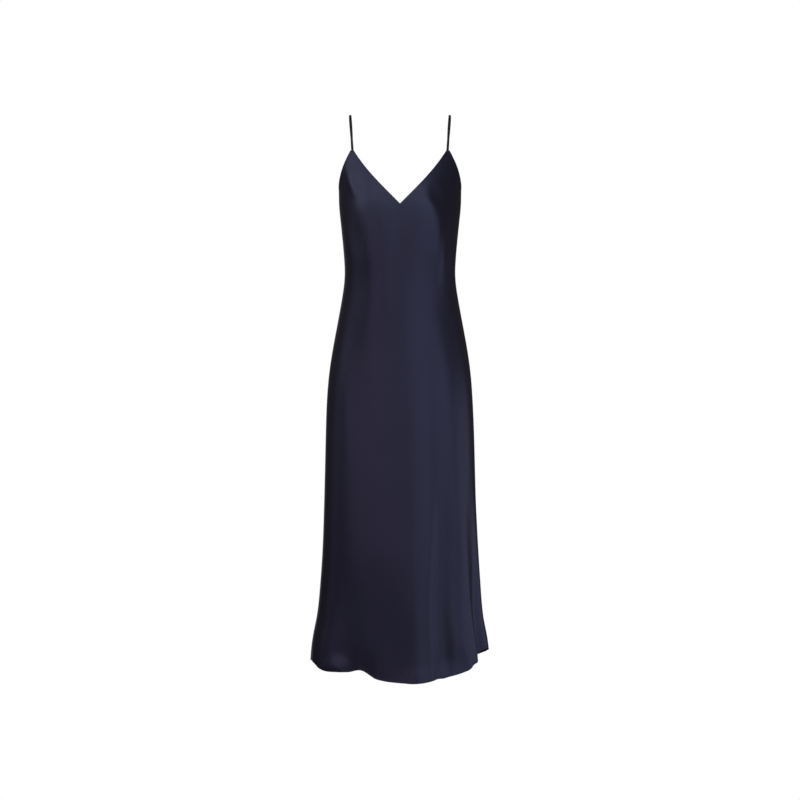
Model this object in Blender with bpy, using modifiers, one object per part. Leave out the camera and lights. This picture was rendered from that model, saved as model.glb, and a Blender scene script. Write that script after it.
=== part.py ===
"""Slip dress, hollow as it is when worn: bias-cut front and back, and two shoulder straps.

Metres, +Z up, the front faces -Y. The origin lies midway between the straps, where they cross the
shoulders that hold the dress up. A drop is a distance below that level. A turn is an angle round
the dress: 0 at centre front, +90 degrees at the side on +X, 180 at centre back.
"""

import bpy
import numpy as np

MM = 0.001
DEGREE = np.pi / 180

# ---- Driving dimensions ----
WALL = 1.2 * MM            # cloth
SEAM_GAP = 0.3 * MM        # between the pieces
PEAK_DROP = 78 * MM        # top of the front, where a strap is sewn in
PEAK_REACH = 103.4 * MM    # from the centre to a front peak
PEAK_WIDTH = 6.6 * MM
NECK_DROP = 194 * MM       # point of the V
NECK_STEEPENING = 0.13     # share of the V's height that comes from its steeper upper end
NECK_POWER = 4             # how near the peak that end lies
UNDERARM_DROP = 156 * MM   # top of the side seams
ARMHOLE_ROUND = 1.35       # 1 runs straight to the underarm, more arrives roundly
BACK_PEAK_DROP = 150 * MM
BACK_PEAK_TURN = 137 * DEGREE
BACK_SCOOP_DROP = 232 * MM  # lowest point of the back's top edge
BACK_SCOOP_BEND = 1.7      # 1 is a straight V, more is a flatter scoop
BACK_SIDE_DIP = 6 * MM     # of the back's top edge between a peak and the side seam
HEM_DROP = 1206 * MM
STRAP_WIDTH = 5 * MM
STRAP_THICKNESS = 2 * MM
STRAP_TUCK = 16 * MM       # how far a strap runs down inside a peak
STRAP_TUCK_SHARES = (1.0, 0.5, -0.06)  # of the tuck, below the peak, where the end is guided
STRAP_CREST_NORMAL = (0.1, 0.0, 1.0)
STRAP_EDGE = 0.6 * MM      # rounding of the strap's edges

# ---- The strap's middle line where it is free, from the front over the shoulder to the back ----
STRAP_OVER = (
    # reach from the centre, y behind the shoulder's crest, z above the origin; in millimetres
    (106.3, -33, -31),
    (107.7, -25, -13),
    (108.2, -13, -2),
    (108.2, 0, 1),
    (108.2, 14, -2),
    (107.6, 27, -13),
    (106.6, 36, -33),
    (103.2, 57, -88),
)

# ---- The form that the cloth stands round, in millimetres ----
FORM_COLUMNS = ("drop", "half_width", "front", "back", "square")
FORM = (
    # drop, half_width, front, back, square   (square 2 is an ellipse, more is boxier)
    (74, 139.6, 69, 58, 2.10),     # front peaks
    (115, 137.7, 84, 77, 2.05),
    (155, 134.0, 96, 91, 2.00),    # underarm
    (190, 133.2, 103, 97, 2.05),
    (225, 130.2, 106, 98, 2.15),   # bust
    (270, 125.6, 107, 91, 2.25),
    (310, 122.2, 107, 81, 2.25),
    (345, 121.0, 106, 74, 2.20),   # waist
    (400, 127.2, 105, 84, 2.15),
    (480, 140.8, 105, 106, 2.15),
    (560, 153.4, 107, 121, 2.25),  # hip
    (640, 160.6, 110, 126, 2.35),
    (760, 165.0, 116, 126, 2.40),
    (880, 168.4, 124, 129, 2.35),  # knee
    (960, 171.8, 130, 132, 2.20),
    (1040, 177.6, 135, 138, 2.10),
    (1100, 184.6, 138, 144, 2.10),
    (1150, 194.2, 140, 151, 2.10),
    (1215, 199.8, 142, 160, 2.10),  # hem
)

# ---- The bust's fullness, one soft mound to each side of the centre ----
BUST_REACH = 80 * MM
BUST_DROP = 198 * MM
BUST_FULLNESS = 17 * MM
BUST_SPREAD_ACROSS = 40 * MM
BUST_SPREAD_UP = 34 * MM
BUST_SPREAD_DOWN = 95 * MM

# ---- Flutes: soft ridges (out above 0) and troughs (out below 0) that open towards the hem ----
FLUTES = (
    # turn and spread in degrees, out and start in millimetres; start is the drop where one begins
    (-58, 20, 3, 900),
    (-32, 32, -15, 700),
    (10, 20, 8, 420),
    (27, 12, -9, 420),
    (43, 15, 9, 420),
    (56, 13, 8, 900),
    (65, 12, -18, 960),
    (116, 20, -12, 820),
    (141, 22, 14, 780),
    (166, 19, -13, 840),
    (192, 20, 12, 760),
    (216, 20, -12, 860),
    (242, 20, 11, 800),
)
FLUTE_GROWTH = 1.2         # 1 opens evenly from its start, more opens late

# ---- Hem: where it hangs lower (sink above 0) or is lifted ----
HEM_WAVES = (
    # turn and spread in degrees, sink in millimetres
    (-78, 32, -12),
    (-38, 22, -3),
    (-26, 12, -8),
    (-12, 16, 3),
    (5, 36, 13),
    (30, 14, 4),
    (38, 12, -3),
    (52, 17, -13),
    (66, 11, -11),
    (76, 11, -12),
    (84, 46, -33),
    (150, 34, 3),
    (216, 30, 2),
)

# ---- Grid of the panels ----
NECK_COLUMNS = 14
ARMHOLE_COLUMNS = 13
SCOOP_COLUMNS = 8
BACK_SIDE_COLUMNS = 9
FRONT_ROWS = 32
BACK_ROWS = 28
ROW_CROWDING = 0.45        # rows lie closer together near the hem and the top edge
STRAP_STEPS = 30
NORMAL_STEP = 0.0005       # radians round the cloth, and metres down it
HALVINGS = 40

CLOTH_COLOUR = (0.013, 0.014, 0.032, 1)
STRAP_COLOUR = (0.010, 0.011, 0.022, 1)


def cleared_collection(name):
    """Empties the scene and returns a new collection in it."""
    for old in list(bpy.data.objects):
        bpy.data.objects.remove(old)
    made = bpy.data.collections.new(name)
    bpy.context.scene.collection.children.link(made)
    return made


def satin(name, colour, roughness):
    """A woven satin finish."""
    material = bpy.data.materials.new(name)
    material.use_nodes = True
    shader = material.node_tree.nodes["Principled BSDF"]
    shader.inputs["Base Color"].default_value = colour
    shader.inputs["Roughness"].default_value = roughness
    shader.inputs["Metallic"].default_value = 0.0
    return material


def spline(knots, values, at):
    """The natural cubic spline through (knots, values), read at any place."""
    step = np.diff(knots)
    system = np.eye(len(knots))
    for i in range(1, len(knots) - 1):
        system[i, i - 1 : i + 2] = step[i - 1], 2 * (step[i - 1] + step[i]), step[i]
    slope_change = np.diff(np.diff(values) / step)
    curve = np.linalg.solve(system, np.concatenate([[0], 6 * slope_change, [0]]))
    i = np.clip(np.searchsorted(knots, at) - 1, 0, len(step) - 1)
    before, after = at - knots[i], knots[i + 1] - at
    return (
        (curve[i] * after**3 + curve[i + 1] * before**3) / (6 * step[i])
        + (values[i] / step[i] - curve[i] * step[i] / 6) * after
        + (values[i + 1] / step[i] - curve[i + 1] * step[i] / 6) * before
    )


def form(column, drop):
    """One column of FORM at any drop: sizes in metres, or the bare squareness."""
    rows = np.array(FORM, float)
    unit = 1.0 if column == "square" else MM
    return unit * spline(rows[:, 0] * MM, rows[:, FORM_COLUMNS.index(column)], drop)


def bump(distance):
    """A smooth hump, 1 at 0 and 0 from 1 outwards."""
    return np.clip(1 - distance**2, 0, None) ** 3


def between_turns(turn, centre):
    """The angle from centre to turn, the short way round."""
    return (turn - centre + np.pi) % (2 * np.pi) - np.pi


def hem_drop(turn):
    """The hem's level, which the flutes lower and lift."""
    level = np.full_like(turn, HEM_DROP)
    for centre, spread, sink in HEM_WAVES:
        level += sink * MM * bump(between_turns(turn, centre * DEGREE) / (spread * DEGREE))
    return level


def flute_depth(turn, drop):
    """How far the flutes move the cloth outwards."""
    depth = np.zeros_like(turn)
    for centre, spread, out, start in FLUTES:
        grown = np.clip((drop - start * MM) / (HEM_DROP - start * MM), 0, None) ** FLUTE_GROWTH
        depth += out * MM * grown * bump(between_turns(turn, centre * DEGREE) / (spread * DEGREE))
    return depth


def bust_depth(x, drop):
    """How far the bust's two mounds move the cloth forwards, bridged smoothly between them."""
    spread = np.where(drop < BUST_DROP, BUST_SPREAD_UP, BUST_SPREAD_DOWN)
    across = sum(np.exp(-(((x - side) / BUST_SPREAD_ACROSS) ** 2) / 2) for side in (BUST_REACH, -BUST_REACH))
    return BUST_FULLNESS * across * np.exp(-(((drop - BUST_DROP) / spread) ** 2) / 2)


def cloth(turn, drop):
    """The cloth's outer face: a superellipse at each drop, with the flutes and the bust on it."""
    side, ahead = np.sin(turn), np.cos(turn)
    power = 2 / form("square", drop)
    reach = np.where(ahead >= 0, form("front", drop), form("back", drop))
    x = form("half_width", drop) * np.sign(side) * np.abs(side) ** power
    y = -reach * np.sign(ahead) * np.abs(ahead) ** power
    depth = flute_depth(turn, drop)
    facing = np.clip(ahead, 0, None) ** power
    y = y - depth * ahead - bust_depth(x, drop) * facing
    return np.stack([x + depth * side, y, -drop], axis=-1)


def outward(turn, drop):
    """The cloth's outward normal, from a short step to each side and one up and down."""
    across = cloth(turn + NORMAL_STEP, drop) - cloth(turn - NORMAL_STEP, drop)
    down = cloth(turn, drop + NORMAL_STEP) - cloth(turn, drop - NORMAL_STEP)
    normal = np.cross(down, across)
    return normal / np.linalg.norm(normal, axis=-1, keepdims=True)


def turn_at(reach, drop):
    """The turn at which the plain form is reach away from the centre plane."""
    return np.arcsin((reach / form("half_width", drop)) ** (form("square", drop) / 2))


def neck_drop(turn):
    """The V of the neck: the drop at which each column meets it, by halving."""
    high, low = np.full_like(turn, PEAK_DROP), np.full_like(turn, NECK_DROP)
    for _ in range(HALVINGS):
        drop = (high + low) / 2
        reach = np.abs(cloth(turn, drop)[..., 0]) / (PEAK_REACH - PEAK_WIDTH / 2)
        height = reach + NECK_STEEPENING * (reach**NECK_POWER - reach)
        above = drop < NECK_DROP - (NECK_DROP - PEAK_DROP) * height
        high, low = np.where(above, drop, high), np.where(above, low, drop)
    return (high + low) / 2


def armhole_drop(turn, peak):
    """The front armhole, from the peak's outer corner round to the side seam."""
    share = (turn - peak) / (np.pi / 2 - peak)
    return UNDERARM_DROP - (UNDERARM_DROP - PEAK_DROP) * (1 - share) ** ARMHOLE_ROUND


def mirrored(half):
    """Turns on both sides, from the half that starts at the centre."""
    return np.concatenate([-half[:0:-1], half])


def front_columns():
    """The front's turns from side seam to side seam, and the drop of its top edge at each."""
    inner = turn_at(PEAK_REACH - PEAK_WIDTH / 2, PEAK_DROP)
    outer = turn_at(PEAK_REACH + PEAK_WIDTH / 2, PEAK_DROP)
    neck = np.linspace(0, inner, NECK_COLUMNS + 1)
    arm = np.linspace(outer, np.pi / 2, ARMHOLE_COLUMNS + 1)
    top = np.concatenate([neck_drop(neck), armhole_drop(arm, outer)])
    return mirrored(np.concatenate([neck, arm])), np.concatenate([top[:0:-1], top])


def back_columns():
    """The same for the back, whose turns run on from side seam to side seam behind."""
    peak = np.pi - BACK_PEAK_TURN
    half_peak = PEAK_WIDTH / 2 / form("half_width", BACK_PEAK_DROP)
    scoop = np.linspace(0, peak - half_peak, SCOOP_COLUMNS + 1)
    side = np.linspace(peak + half_peak, np.pi / 2, BACK_SIDE_COLUMNS + 1)
    scooped = (scoop / scoop[-1]) ** BACK_SCOOP_BEND
    share = (side - side[0]) / (side[-1] - side[0])
    scoop_top = BACK_SCOOP_DROP - (BACK_SCOOP_DROP - BACK_PEAK_DROP) * scooped
    side_top = BACK_PEAK_DROP + (UNDERARM_DROP - BACK_PEAK_DROP) * share
    side_top += 4 * BACK_SIDE_DIP * share * (1 - share)
    top = np.concatenate([scoop_top, side_top])
    return np.pi + mirrored(np.concatenate([scoop, side])), np.concatenate([top[:0:-1], top])


def panel_grid(turns, tops, rows):
    """The cloth's points, a row from hem to top edge and a column for each turn."""
    t = np.linspace(0, 1, rows + 1)
    share = (t - ROW_CROWDING * np.sin(2 * np.pi * t) / (2 * np.pi))[:, None]
    hems = hem_drop(turns)
    drops = hems + (tops - hems) * share
    return cloth(np.broadcast_to(turns, drops.shape), drops)


def sheet(name, grid, thickness, offset, material, collection):
    """A grid of points as a sheet with a wall; offset -1 puts the wall behind the grid's outer face.

    A face's first corner is at its lower left on one half and at its lower right on the other, so
    that the faces' diagonals mirror about the middle.
    """
    rows, columns = grid.shape[:2]
    corner = np.arange(rows * columns).reshape(rows, columns)
    faces = np.stack([corner[:-1, :-1], corner[:-1, 1:], corner[1:, 1:], corner[1:, :-1]], axis=-1)
    faces[:, columns // 2 :] = np.roll(faces[:, columns // 2 :], -1, axis=-1)
    mesh = bpy.data.meshes.new(name)
    mesh.from_pydata(grid.reshape(-1, 3).tolist(), [], faces.reshape(-1, 4).tolist())
    mesh.materials.append(material)
    mesh.shade_smooth()
    made = bpy.data.objects.new(name, mesh)
    collection.objects.link(made)
    wall = made.modifiers.new("wall", "SOLIDIFY")
    wall.thickness = thickness
    wall.offset = offset
    return made


def strap_end(turn, peak):
    """A sewn-in end of the strap, a seam gap behind the panel, and the panel's outward normal."""
    drops = peak + STRAP_TUCK * np.array(STRAP_TUCK_SHARES)
    turns = np.full_like(drops, turn)
    normals = outward(turns, drops)
    return cloth(turns, drops) - (WALL + SEAM_GAP + STRAP_THICKNESS / 2) * normals, normals[-1]


def strap_route():
    """The left strap's middle line and the direction across it, from front peak to back peak."""
    front, front_normal = strap_end(turn_at(PEAK_REACH, PEAK_DROP), PEAK_DROP)
    back, back_normal = strap_end(BACK_PEAK_TURN, BACK_PEAK_DROP)
    over = MM * np.array(STRAP_OVER)
    points = np.concatenate([front, over, back[::-1]])
    length = np.concatenate([[0], np.cumsum(np.linalg.norm(np.diff(points, axis=0), axis=1))])
    at = np.linspace(0, length[-1], STRAP_STEPS + 1)
    line = np.stack([spline(length, column, at) for column in points.T], axis=-1)
    normals = np.array([front_normal, STRAP_CREST_NORMAL, back_normal])
    places = np.linspace(0, length[-1], len(normals))
    facing = np.stack([spline(places, column, at) for column in normals.T], axis=-1)
    across = np.cross(np.gradient(line, axis=0), facing)
    return line, across / np.linalg.norm(across, axis=1, keepdims=True)


def strap(name, side, material, collection):
    """A shoulder strap: a ribbon along its route with a wall on both sides and rounded edges."""
    line, across = strap_route()
    grid = np.stack([line - across * STRAP_WIDTH / 2, line + across * STRAP_WIDTH / 2], axis=1)
    grid *= (side, 1, 1)
    made = sheet(name, grid, STRAP_THICKNESS, 0, material, collection)
    edges = made.modifiers.new("soft edges", "BEVEL")
    edges.width = STRAP_EDGE
    edges.segments = 2
    return made


def panel(name, columns, rows, seam_shift, material, collection):
    """A panel of the dress, moved half a seam gap away from the side seams' plane."""
    turns, tops = columns
    grid = panel_grid(turns, tops, rows)
    grid[..., 1] += seam_shift
    return sheet(name, grid, WALL, -1, material, collection)


def main():
    dress = cleared_collection("slip_dress")
    cloth_finish = satin("dress_satin", CLOTH_COLOUR, 0.38)
    strap_finish = satin("strap_satin", STRAP_COLOUR, 0.5)
    panel("front", front_columns(), FRONT_ROWS, -SEAM_GAP / 2, cloth_finish, dress)
    panel("back", back_columns(), BACK_ROWS, SEAM_GAP / 2, cloth_finish, dress)
    strap("strap_left", 1, strap_finish, dress)
    strap("strap_right", -1, strap_finish, dress)


main()
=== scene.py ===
"""Slip dress in dark navy satin, hollow as it is when worn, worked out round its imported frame.

Metres, +Z up, the front faces -Y. The origin lies midway between the straps, where they cross the
shoulders that hold the dress up. A drop is a distance below that level. A turn is an angle round
the dress: 0 at centre front, +90 degrees at the side on +X, 180 at centre back.
"""

import bpy
import numpy as np
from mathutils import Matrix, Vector


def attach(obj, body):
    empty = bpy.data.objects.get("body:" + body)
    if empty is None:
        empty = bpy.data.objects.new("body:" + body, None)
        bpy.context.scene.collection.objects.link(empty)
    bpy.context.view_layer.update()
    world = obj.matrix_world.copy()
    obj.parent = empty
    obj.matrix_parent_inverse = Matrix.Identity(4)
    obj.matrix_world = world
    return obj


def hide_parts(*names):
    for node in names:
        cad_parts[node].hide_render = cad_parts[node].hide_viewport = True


MM = 0.001
DEGREE = np.pi / 180

# ---- Sizes that the cloth shares with its solids ----
SEAM_GAP = 0.3 * MM
PANEL_WALL = 1.2 * MM      # of the solids
PEAK_DROP = 78 * MM        # top of the front, where a strap is sewn in
PEAK_REACH = 103.4 * MM    # from the centre to a front peak
PEAK_WIDTH = 6.6 * MM
NECK_DROP = 194 * MM       # point of the V
NECK_STEEPENING = 0.13     # share of the V's height that comes from its steeper upper end
NECK_POWER = 4             # how near the peak that end lies
UNDERARM_DROP = 156 * MM   # top of the side seams
ARMHOLE_ROUND = 1.35       # 1 runs straight to the underarm, more arrives roundly
BACK_PEAK_DROP = 150 * MM
BACK_PEAK_TURN = 137 * DEGREE
BACK_SCOOP_DROP = 232 * MM  # lowest point of the back's top edge
BACK_SCOOP_BEND = 1.7      # 1 is a straight V, more is a flatter scoop
BACK_SIDE_DIP = 6 * MM     # of the back's top edge between a peak and the side seam
HEM_DROP = 1206 * MM
STRAP_WIDTH = 5 * MM
STRAP_THICKNESS = 2 * MM
STRAP_TUCK = 16 * MM       # how far a strap runs down inside a peak
STRAP_TUCK_SHARES = (1.0, 0.5, -0.06)  # of the tuck, below the peak, where the end is guided
STRAP_CREST_NORMAL = (0.1, 0.0, 1.0)

STRAP_OVER = (
    # reach from the centre, y behind the shoulder's crest, z above the origin; in millimetres
    (106.3, -33, -31),
    (107.7, -25, -13),
    (108.2, -13, -2),
    (108.2, 0, 1),
    (108.2, 14, -2),
    (107.6, 27, -13),
    (106.6, 36, -33),
    (103.2, 57, -88),
)

# ---- The form that the cloth stands round ----
FORM_COLUMNS = ("drop", "half_width", "front", "back", "square")
FORM = (
    # drop, half_width, front, back, square   (millimetres; square 2 is an ellipse, more is boxier)
    (74, 139.6, 69, 58, 2.10),     # front peaks
    (115, 137.7, 84, 77, 2.05),
    (155, 134.0, 96, 91, 2.00),    # underarm
    (190, 133.2, 103, 97, 2.05),
    (225, 130.2, 106, 98, 2.15),   # bust
    (270, 125.6, 107, 91, 2.25),
    (310, 122.2, 107, 81, 2.25),
    (345, 121.0, 106, 74, 2.20),   # waist
    (400, 127.2, 105, 84, 2.15),
    (480, 140.8, 105, 106, 2.15),
    (560, 153.4, 107, 121, 2.25),  # hip
    (640, 160.6, 110, 126, 2.35),
    (760, 165.0, 116, 126, 2.40),
    (880, 168.4, 124, 129, 2.35),  # knee
    (960, 171.8, 130, 132, 2.20),
    (1040, 177.6, 135, 138, 2.10),
    (1100, 184.6, 138, 144, 2.10),
    (1150, 194.2, 140, 151, 2.10),
    (1215, 199.8, 142, 160, 2.10),  # hem
)

# ---- The bust's fullness, one soft mound to each side of the centre ----
BUST_REACH = 80 * MM
BUST_DROP = 198 * MM
BUST_FULLNESS = 17 * MM
BUST_SPREAD_ACROSS = 40 * MM
BUST_SPREAD_UP = 34 * MM
BUST_SPREAD_DOWN = 95 * MM

# ---- Flutes: soft ridges (out above 0) and troughs (out below 0) that open at the hem ----
FLUTES = (
    # turn and spread in degrees, out and start in millimetres; start is the drop where one begins
    (-58, 20, 3, 900),
    (-32, 32, -15, 700),
    (10, 20, 8, 420),
    (27, 12, -9, 420),
    (43, 15, 9, 420),
    (56, 13, 8, 900),
    (65, 12, -18, 960),
    (116, 20, -12, 820),
    (141, 22, 14, 780),
    (166, 19, -13, 840),
    (192, 20, 12, 760),
    (216, 20, -12, 860),
    (242, 20, 11, 800),
)
FLUTE_GROWTH = 1.2         # 1 opens evenly from its start, more opens late

# ---- The hem's waves ----
HEM_WAVES = (
    # turn and spread in degrees, sink in millimetres: lower above 0, lifted below 0
    (-78, 32, -12),
    (-38, 22, -3),
    (-26, 12, -8),
    (-12, 16, 3),
    (5, 36, 13),
    (30, 14, 4),
    (38, 12, -3),
    (52, 17, -13),
    (66, 11, -11),
    (76, 11, -12),
    (84, 46, -33),
    (150, 34, 3),
    (216, 30, 2),
)

# ---- Finer sizes, of the cloth itself ----
CLOTH_THICKNESS = 0.45 * MM
HEM_WIDTH = 4.0 * MM       # of the narrow hem, turned twice to the inside
HEM_SWELL = 0.22 * MM      # how far its layers push the outer face out
EDGE_WIDTH = 3.0 * MM      # of the turned top edges
EDGE_SWELL = 0.16 * MM
LAYERS_AT_EDGE = 2.4       # thickness there, in single thicknesses
EDGE_FULLNESS = 0.8        # of its swell: 1 is a sine's arch, less is fuller
EDGE_LAYERS_TO = 0.92      # of an edge's width, where its layers begin to end
EDGE_LAYERS_FADE = 0.16    # of the width, over which they end
STITCH_DENT = 0.14 * MM
STITCH_DENT_AT = 0.9       # of an edge's width
STITCH_DENT_HALF = 0.35    # of the width
SEAM_DIP = 0.40 * MM       # the side seams' groove
SEAM_DIP_WIDTH = 1.8 * MM
CREASE_RADIUS = 140 * MM   # lays turns out flat, as lengths, for the creases
RIPPLE_HEIGHT = 0.35 * MM
RIPPLE_REACH = 60 * MM
RIPPLES = (
    # share of the height, waves round the dress, phase
    (1.0, 19, 1.1),
    (0.8, 31, 4.0),
    (0.5, 53, 2.2),
)
STITCH_RADIUS = 0.17 * MM
STITCH_PITCH = 2.6 * MM
STITCH_SHARE = 0.80        # of the pitch that a stitch shows
STITCH_SIDES = 6
STITCH_RINGS = (-0.80, -0.35, 0.35, 0.80)  # from its middle, in half stitches
STITCH_RISE = 0.8          # of its middle line from the cloth, in thread radii
STITCH_DIVE = 1.4          # of its ends, down from there
STITCH_FROM_HEM = 3.3      # mm; one of HEM_RUNS
STITCH_FROM_TOP = 2.5      # mm; one of TOP_RUNS
TACK_DROPS = (4.2 * MM, 6.0 * MM)  # below a peak
TACK_REACH = 2.6           # mm to each side of a strap's middle
TACK_POINTS = 9
TACK_PITCH = 1.5 * MM
ALLOWANCE_WIDTH = 6.5 * MM  # of the side seams' turned edges, laid to the back inside
ALLOWANCE_THICKNESS = 1.0 * MM
ALLOWANCE_CLEARANCE = 0.4 * MM
ALLOWANCE_OVERLAP = 0.8 * MM  # past the seam, to the front
ALLOWANCE_BELOW_ARM = 5 * MM
ALLOWANCE_ABOVE_HEM = 1.5 * MM  # of the turned hem's upper edge
ALLOWANCE_POWER = 0.7      # of its section: 1 is an ellipse, less is boxier
ALLOWANCE_ROWS = 260
ALLOWANCE_SIDES = 14
FLUTTER_HEIGHT = 0.6 * MM
FLUTTER_RATES = (130, 37)  # radians for each metre down
FLUTTER_PHASE = 1

HEM_RUNS = (0.0, 0.5, 1.1, 1.9, 2.7, 3.3, 3.7, 4.1, 4.8, 6.2, 8.5)  # mm above the hem
TOP_RUNS = (0.0, 0.4, 0.9, 1.5, 2.1, 2.5, 2.9, 3.4, 4.4, 6.0)       # mm in from a top edge
SIDE_RUNS = (0.0, 0.3, 0.7, 1.2, 1.9, 3.0, 4.6)                     # mm from a side seam
MIDDLE_ROWS = 124
ROW_CROWDING = 0.5         # rows lie closer together near the hem and the top edge
NECK_COLUMNS = 64
PEAK_COLUMNS = 4
ARMHOLE_COLUMNS = 46
SCOOP_COLUMNS = 52
BACK_PEAK_COLUMNS = 3
BACK_SIDE_COLUMNS = 52
RIM_STEPS = 4
NORMAL_STEP = 0.0005       # radians round the cloth, and metres down it
HALVINGS = 40


# ---- The cloth's form ----

def spline(knots, values, at):
    """The natural cubic spline through (knots, values), read at any place."""
    step = np.diff(knots)
    system = np.eye(len(knots))
    for i in range(1, len(knots) - 1):
        system[i, i - 1 : i + 2] = step[i - 1], 2 * (step[i - 1] + step[i]), step[i]
    slope_change = np.diff(np.diff(values) / step)
    curve = np.linalg.solve(system, np.concatenate([[0], 6 * slope_change, [0]]))
    i = np.clip(np.searchsorted(knots, at) - 1, 0, len(step) - 1)
    before, after = at - knots[i], knots[i + 1] - at
    return (
        (curve[i] * after**3 + curve[i + 1] * before**3) / (6 * step[i])
        + (values[i] / step[i] - curve[i] * step[i] / 6) * after
        + (values[i + 1] / step[i] - curve[i + 1] * step[i] / 6) * before
    )


def form(column, drop):
    """One column of FORM at any drop: sizes in metres, or the bare squareness."""
    rows = np.array(FORM, float)
    scale = 1.0 if column == "square" else MM
    return scale * spline(rows[:, 0] * MM, rows[:, FORM_COLUMNS.index(column)], drop)


def bump(distance):
    """A smooth hump: (1 - distance^2)^3, 1 at 0 and 0 from 1 outwards."""
    return np.clip(1 - distance**2, 0, None) ** 3


def signed_power(value, power):
    """|value|^power, with the sign of value."""
    return np.sign(value) * np.abs(value) ** power


def between_turns(turn, centre):
    """The angle from centre to turn, the short way round."""
    return (turn - centre + np.pi) % (2 * np.pi) - np.pi


def hem_drop(turn):
    """The hem's level: HEM_DROP and a bump for each wave."""
    level = np.full_like(turn, HEM_DROP)
    for centre, spread, sink in HEM_WAVES:
        level += sink * MM * bump(between_turns(turn, centre * DEGREE) / (spread * DEGREE))
    return level


def flute_depth(turn, drop):
    """How far the flutes move the cloth out: out x (share of the way to the hem)^growth x bump."""
    depth = np.zeros_like(turn)
    for centre, spread, out, start in FLUTES:
        grown = np.clip((drop - start * MM) / (HEM_DROP - start * MM), 0, None) ** FLUTE_GROWTH
        depth += out * MM * grown * bump(between_turns(turn, centre * DEGREE) / (spread * DEGREE))
    return depth


def bust_depth(x, drop):
    """How far the bust moves the cloth forwards: two bell curves in x, times one in the drop."""
    spread = np.where(drop < BUST_DROP, BUST_SPREAD_UP, BUST_SPREAD_DOWN)
    across = sum(
        np.exp(-(((x - side) / BUST_SPREAD_ACROSS) ** 2) / 2) for side in (BUST_REACH, -BUST_REACH)
    )
    return BUST_FULLNESS * across * np.exp(-(((drop - BUST_DROP) / spread) ** 2) / 2)


def cloth(turn, drop):
    """The cloth's outer face before its creases: a superellipse at each drop,
    x = half_width sin^p, y = -reach cos^p with p = 2 / square, and the flutes and bust on it."""
    side, ahead = np.sin(turn), np.cos(turn)
    power = 2 / form("square", drop)
    reach = np.where(ahead >= 0, form("front", drop), form("back", drop))
    x = form("half_width", drop) * signed_power(side, power)
    y = -reach * signed_power(ahead, power)
    depth = flute_depth(turn, drop)
    facing = np.clip(ahead, 0, None) ** power
    y = y - depth * ahead - bust_depth(x, drop) * facing
    return np.stack([x + depth * side, y, -drop], axis=-1)


def unit(vectors):
    """Vectors of length 1."""
    return vectors / np.linalg.norm(vectors, axis=-1, keepdims=True)


def outward(turn, drop):
    """The cloth's outward normal, from a short step to each side and one up and down."""
    across = cloth(turn + NORMAL_STEP, drop) - cloth(turn - NORMAL_STEP, drop)
    down = cloth(turn, drop + NORMAL_STEP) - cloth(turn, drop - NORMAL_STEP)
    return unit(np.cross(down, across))


def turn_at(reach, drop):
    """The turn at which the plain form is reach away from the centre plane."""
    return np.arcsin((reach / form("half_width", drop)) ** (form("square", drop) / 2))


def neck_drop(turn):
    """The V of the neck: the drop at which each column meets it, by halving."""
    high, low = np.full_like(turn, PEAK_DROP), np.full_like(turn, NECK_DROP)
    for _ in range(HALVINGS):
        drop = (high + low) / 2
        reach = np.abs(cloth(turn, drop)[..., 0]) / (PEAK_REACH - PEAK_WIDTH / 2)
        height = reach + NECK_STEEPENING * (reach**NECK_POWER - reach)
        above = drop < NECK_DROP - (NECK_DROP - PEAK_DROP) * height
        high, low = np.where(above, drop, high), np.where(above, low, drop)
    return (high + low) / 2


def armhole_drop(turn, peak):
    """The front armhole, from the peak's outer corner round to the side seam."""
    share = (turn - peak) / (np.pi / 2 - peak)
    return UNDERARM_DROP - (UNDERARM_DROP - PEAK_DROP) * (1 - share) ** ARMHOLE_ROUND


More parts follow.
